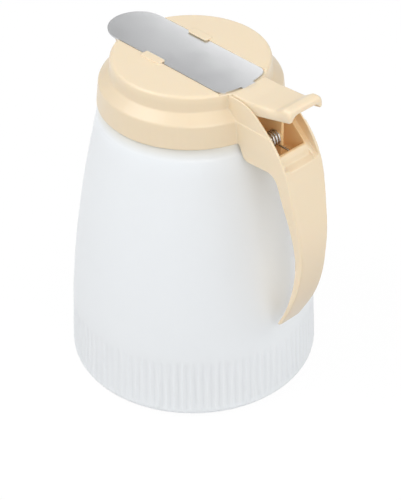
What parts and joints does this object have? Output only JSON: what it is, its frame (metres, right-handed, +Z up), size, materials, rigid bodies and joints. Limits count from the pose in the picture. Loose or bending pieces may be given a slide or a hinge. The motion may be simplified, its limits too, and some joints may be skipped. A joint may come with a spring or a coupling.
{
  "type": "syrup dispenser",
  "caption": "Plastic syrup jar with a fluted base, a screw-on top with moulded handle, and a spring-return steel blade that slides off the spout to pour and cuts off the drip.",
  "frame": {"origin": "centre of the base, on the jar's axis, at the height of the table", "axes": "+Z up along the jar's axis, +X towards the handle, -X towards the spout"},
  "size_m": [0.1458, 0.1264, 0.1778],
  "materials": {
    "jar_plastic": "satin, slightly translucent white polyethylene",
    "cream_plastic": "semi-gloss moulded plastic",
    "seal_rubber": "matt",
    "blade_steel": "fine brushed",
    "spring_steel": "drawn wire"
  },
  "bodies": {
    "base": {"jar": "jar_plastic"},
    "seal": {"seal_ring": "seal_rubber"},
    "top": {"screw_top": "cream_plastic", "return_spring": "spring_steel"},
    "slide": {"cutoff_blade": "blade_steel", "thumb_slide": "cream_plastic"}
  },
  "joints": [
    {"name": "top_lift", "type": "slide", "parent": "base", "child": "seal", "axis": [0, 0, 1], "range_m": [0, 0.0051]},
    {"name": "top_turn", "type": "hinge", "parent": "seal", "child": "top", "pos_m": [0, 0, 0.16], "axis": [0, 0, 1], "range_deg": [0, 360]},
    {"name": "blade_slide", "type": "slide", "parent": "top", "child": "slide", "axis": [1, 0, 0], "range_m": [0, 0.015], "stiffness_N_per_m": 300, "springref_m": -0.006, "deforming": ["return_spring"]}
  ],
  "couplings": [
    {"joint": "top_lift", "follows": "top_turn", "m_per_rad": 0.00079577}
  ]
}
